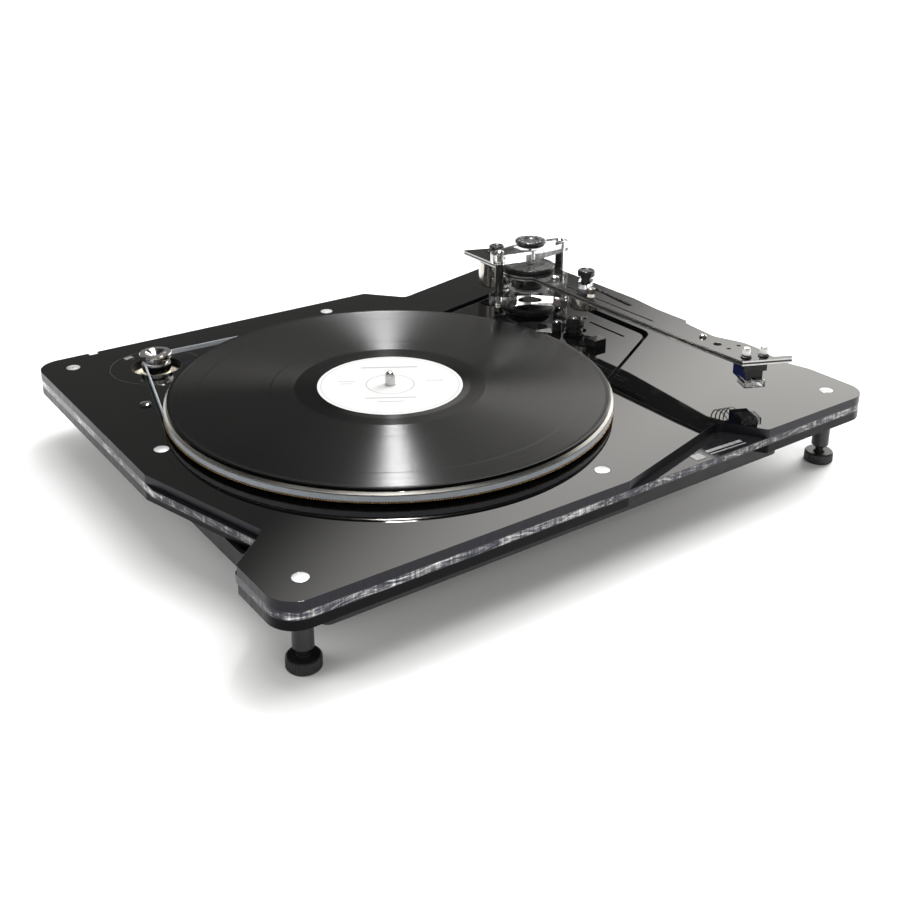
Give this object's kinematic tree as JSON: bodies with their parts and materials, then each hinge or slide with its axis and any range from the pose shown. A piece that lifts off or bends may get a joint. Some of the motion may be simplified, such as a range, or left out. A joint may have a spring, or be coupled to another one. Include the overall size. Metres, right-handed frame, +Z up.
{
  "type": "turntable record player",
  "caption": "Belt-drive turntable: notched layered acrylic plinth on three levelling feet, alloy platter with a record, and a gimballed plate tonearm.",
  "frame": {"origin": "on the table, under the middle of the plinth", "axes": "+X along the front edge towards the tonearm, +Y to the rear, +Z up"},
  "size_m": [0.464, 0.384, 0.112],
  "materials": {
    "black_acrylic": "polished black cast acrylic, satin sawn edges",
    "clear_acrylic": "polished clear cast acrylic",
    "tray_black": "matt black moulding",
    "cap_steel": "satin stainless",
    "black_anodised": "matt black anodised",
    "rubber": "moulded rubber",
    "platter_alloy": "polished turned aluminium",
    "mat": "thin felted mat",
    "vinyl": "pressed black vinyl with fine grooves",
    "label_paper": "uncoated white paper",
    "bearing_steel": "ground steel",
    "bronze": "sintered bronze",
    "belt": "ground flat belt",
    "polished_alloy": "polished turned aluminium",
    "pcb": "solder mask",
    "nickel": "bright nickel plate",
    "satin_alloy": "satin anodised, bright edges",
    "beam_core_black": "constrained damping layer",
    "cartridge_black": "moulded, dark blue black",
    "lead_wire": "coloured wire sleeves"
  },
  "bodies": {
    "plinth": {"top_plate": "black_acrylic", "inner_board": "black_acrylic", "clear_layer": "clear_acrylic", "bottom_plate": "black_acrylic", "base_tray": "tray_black", "layer_bolts": "cap_steel", "board_isolators": "rubber", "leg_columns": "black_anodised", "bearing_housing": "bearing_steel", "bearing_bush": "bronze", "thrust_ball": "bearing_steel", "drive_belt": "belt", "motor_plate": "black_acrylic", "motor_body": "bearing_steel", "circuit_board": "pcb", "power_inlet": "tray_black", "phono_sockets": "nickel", "arm_column": "black_anodised", "flange_nuts": "nickel", "lower_bridge_plate": "clear_acrylic", "pivot_seat": "satin_alloy", "bridge_posts": "black_anodised", "upper_bridge_plate": "clear_acrylic", "bridge_screws": "nickel", "cue_lift_body": "black_anodised", "cue_post": "black_anodised", "lead_block": "tray_black"},
    "platter": {"platter": "platter_alloy", "platter_mat": "mat", "spindle": "bearing_steel"},
    "record": {"vinyl_record": "vinyl", "record_label": "label_paper"},
    "motor_rotor": {"pulley": "polished_alloy", "motor_shaft": "bearing_steel"},
    "button": {"speed_button": "black_acrylic"},
    "foot_left": {"foot_left": "black_anodised"},
    "foot_right": {"foot_right": "black_anodised"},
    "foot_rear": {"foot_rear": "black_anodised"},
    "top_knob": {"bridge_knob": "black_anodised"},
    "arm_swivel": {"pivot_pin": "bearing_steel", "yaw_block": "black_anodised", "gimbal_pins": "bearing_steel"},
    "tonearm": {"gimbal_yoke": "black_anodised", "hub_disc": "black_anodised", "beam_skins": "satin_alloy", "beam_core": "beam_core_black", "beam_screws": "nickel", "cartridge_body": "cartridge_black", "cartridge_screws": "nickel", "cantilever": "bearing_steel", "stylus_guard": "clear_acrylic", "cartridge_leads": "lead_wire"},
    "balance_weight": {"counterweight": "nickel", "counterweight_knob": "black_anodised", "counterweight_screw": "nickel"},
    "trim": {"trim_weight": "nickel", "trim_plate": "clear_acrylic", "trim_knob": "black_anodised"},
    "cue_lever": {"cue_lever": "black_anodised"},
    "cue_plunger": {"cue_plunger": "bearing_steel"}
  },
  "joints": [
    {"name": "platter_spin", "type": "hinge", "parent": "plinth", "child": "platter", "pos_m": [-0.05, -0.0085, 0.0569], "axis": [0, 0, 1], "continuous": true},
    {"name": "record_lift", "type": "slide", "parent": "platter", "child": "record", "axis": [0, 0, 1], "range_m": [0, 0.03]},
    {"name": "pulley_spin", "type": "hinge", "parent": "plinth", "child": "motor_rotor", "pos_m": [-0.159, 0.1392, 0.06], "axis": [0, 0, 1], "continuous": true},
    {"name": "button_press", "type": "slide", "parent": "plinth", "child": "button", "axis": [0, 0, -1], "range_m": [0, 0.0012], "stiffness_N_per_m": 400, "springref_m": -0.0005},
    {"name": "foot_left_turn", "type": "hinge", "parent": "plinth", "child": "foot_left", "pos_m": [-0.21, -0.1715, 0.004], "axis": [0, 0, 1], "range_deg": [-720, 720]},
    {"name": "foot_right_turn", "type": "hinge", "parent": "plinth", "child": "foot_right", "pos_m": [0.21, -0.1715, 0.004], "axis": [0, 0, 1], "range_deg": [-720, 720]},
    {"name": "foot_rear_turn", "type": "hinge", "parent": "plinth", "child": "foot_rear", "pos_m": [0.003, 0.1715, 0.004], "axis": [0, 0, 1], "range_deg": [-720, 720]},
    {"name": "top_knob_turn", "type": "hinge", "parent": "plinth", "child": "top_knob", "pos_m": [0.15, 0.0875, 0.108], "axis": [0, 0, 1], "range_deg": [-150, 150]},
    {"name": "arm_swing", "type": "hinge", "parent": "plinth", "child": "arm_swivel", "pos_m": [0.15, 0.0875, 0.077], "axis": [0, 0, 1], "range_deg": [-52, 0]},
    {"name": "arm_tilt", "type": "hinge", "parent": "arm_swivel", "child": "tonearm", "pos_m": [0.15, 0.0875, 0.07745], "axis": [-1, 0, 0], "range_deg": [0, 3.5]},
    {"name": "balance_slide", "type": "slide", "parent": "tonearm", "child": "balance_weight", "axis": [0, 1, 0], "range_m": [0, 0.012]},
    {"name": "trim_slide", "type": "slide", "parent": "tonearm", "child": "trim", "axis": [-0.0894, -0.996, 0], "range_m": [0, 0.055]},
    {"name": "cue_turn", "type": "hinge", "parent": "plinth", "child": "cue_lever", "pos_m": [0.142, 0.0205, 0.06], "axis": [0, 0, -1], "range_deg": [0, 80]},
    {"name": "cue_lift", "type": "slide", "parent": "plinth", "child": "cue_plunger", "axis": [0, 0, 1], "range_m": [0, 0.003]}
  ],
  "couplings": [
    {"joint": "pulley_spin", "follows": "platter_spin", "ratio": 17.136},
    {"joint": "cue_lift", "follows": "cue_turn", "m_per_rad": 0.0021486}
  ]
}
